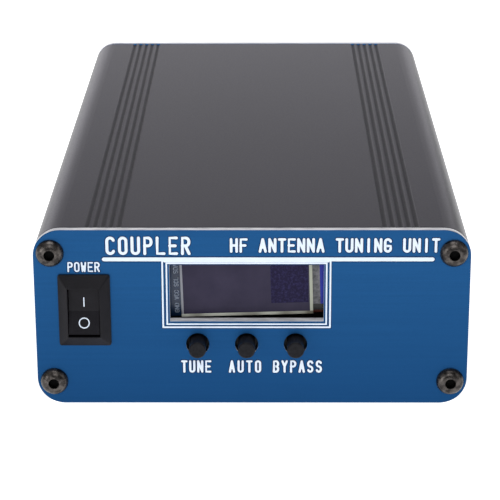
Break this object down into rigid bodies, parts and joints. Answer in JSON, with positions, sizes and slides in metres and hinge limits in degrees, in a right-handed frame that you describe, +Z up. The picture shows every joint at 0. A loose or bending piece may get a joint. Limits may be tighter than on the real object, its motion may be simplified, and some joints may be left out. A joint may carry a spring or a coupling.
{
  "type": "antenna tuner",
  "caption": "Desktop automatic antenna tuner in a grey extruded aluminium case with blue end panels, rocker power switch, push buttons and a small display window.",
  "frame": {"origin": "centre of the case underside", "axes": "+Y from the front panel to the rear panel, +X to the right seen from the front, +Z up"},
  "size_m": [0.0884, 0.1826, 0.0377],
  "materials": {
    "case_grey": "fine blasted grey anodising",
    "panel_blue": "satin blue anodising with bare cut edges",
    "screw_black": "black oxide",
    "switch_black": "fine moulded grain",
    "button_black": "moulded",
    "brass_parts": "bright brass",
    "steel_parts": "bright zinc plated",
    "nickel_parts": "satin nickel plated",
    "copper_parts": "enamelled copper",
    "board_blue": "blue solder mask",
    "board_green": "green solder mask",
    "display_glass": "polished, dark with the display off",
    "foam_black": "closed cell foam",
    "relay_blue": "moulded cover",
    "core_red": "painted iron powder core",
    "core_ferrite": "ferrite",
    "capacitor_brown": "dipped resin",
    "chip_black": "moulded epoxy",
    "can_sleeve": "shrink sleeve",
    "socket_insulator": "turned fluoropolymer",
    "lead_sleeve": "extruded sleeve",
    "lead_black": "extruded sleeve"
  },
  "bodies": {
    "case": {"air_coils": "copper_parts", "button_bodies": "button_black", "button_brackets": "steel_parts", "button_domes": "steel_parts", "capacitor_bank": "capacitor_brown", "capacitor_relays": "relay_blue", "coax_contacts": "brass_parts", "coax_insulators": "socket_insulator", "coax_nuts": "steel_parts", "coax_screws": "steel_parts", "coax_shells": "nickel_parts", "controller_chip": "chip_black", "controller_socket": "button_black", "display_board": "board_blue", "display_cover_glass": "display_glass", "display_leads": "lead_sleeve", "display_pads": "foam_black", "display_pins": "brass_parts", "display_rear_glass": "display_glass", "driver_chips": "chip_black", "electrolytic_capacitors": "can_sleeve", "front_panel": "panel_blue", "front_panel_screws": "screw_black", "ground_lug": "steel_parts", "ground_nut": "nickel_parts", "ground_stud": "brass_parts", "ground_washer": "nickel_parts", "inductor_relays": "relay_blue", "lead_plugs": "button_black", "lower_shell": "case_grey", "main_board": "board_green", "match_cores": "core_ferrite", "match_lines": "copper_parts", "match_windings": "copper_parts", "output_relays": "relay_blue", "pin_headers": "button_black", "power_jack_body": "nickel_parts", "power_jack_nut": "nickel_parts", "power_jack_pin": "nickel_parts", "power_jack_tabs": "brass_parts", "rear_panel": "panel_blue", "rear_panel_screws": "screw_black", "regulator_tab": "steel_parts", "return_leads": "lead_black", "rf_leads": "copper_parts", "supply_leads": "lead_sleeve", "switch_housing": "switch_black", "switch_terminals": "brass_parts", "toroid_cores": "core_red", "toroid_windings": "copper_parts", "upper_shell": "case_grey", "voltage_regulator": "chip_black"},
    "rocker": {"switch_rocker": "switch_black", "switch_plunger": "brass_parts", "switch_spring": "steel_parts"},
    "contact_blade": {"switch_blade": "copper_parts"},
    "tune_key": {"tune_button": "button_black"},
    "auto_key": {"auto_button": "button_black"},
    "bypass_key": {"bypass_button": "button_black"}
  },
  "joints": [
    {"name": "power_rocker", "type": "hinge", "parent": "case", "child": "rocker", "pos_m": [-0.03405, -0.0805, 0.02065], "axis": [1, 0, 0], "range_deg": [0, 16]},
    {"name": "contact_tilt", "type": "hinge", "parent": "case", "child": "contact_blade", "pos_m": [-0.03405, -0.0721, 0.02067], "axis": [1, 0, 0], "range_deg": [-12, 0]},
    {"name": "tune_press", "type": "slide", "parent": "case", "child": "tune_key", "axis": [0, 1, 0], "range_m": [0, 0.00025], "stiffness_N_per_m": 1600, "springref_m": -0.0005},
    {"name": "auto_press", "type": "slide", "parent": "case", "child": "auto_key", "axis": [0, 1, 0], "range_m": [0, 0.00025], "stiffness_N_per_m": 1600, "springref_m": -0.0005},
    {"name": "bypass_press", "type": "slide", "parent": "case", "child": "bypass_key", "axis": [0, 1, 0], "range_m": [0, 0.00025], "stiffness_N_per_m": 1600, "springref_m": -0.0005}
  ],
  "couplings": [
    {"joint": "contact_tilt", "follows": "power_rocker", "ratio": -0.75}
  ]
}
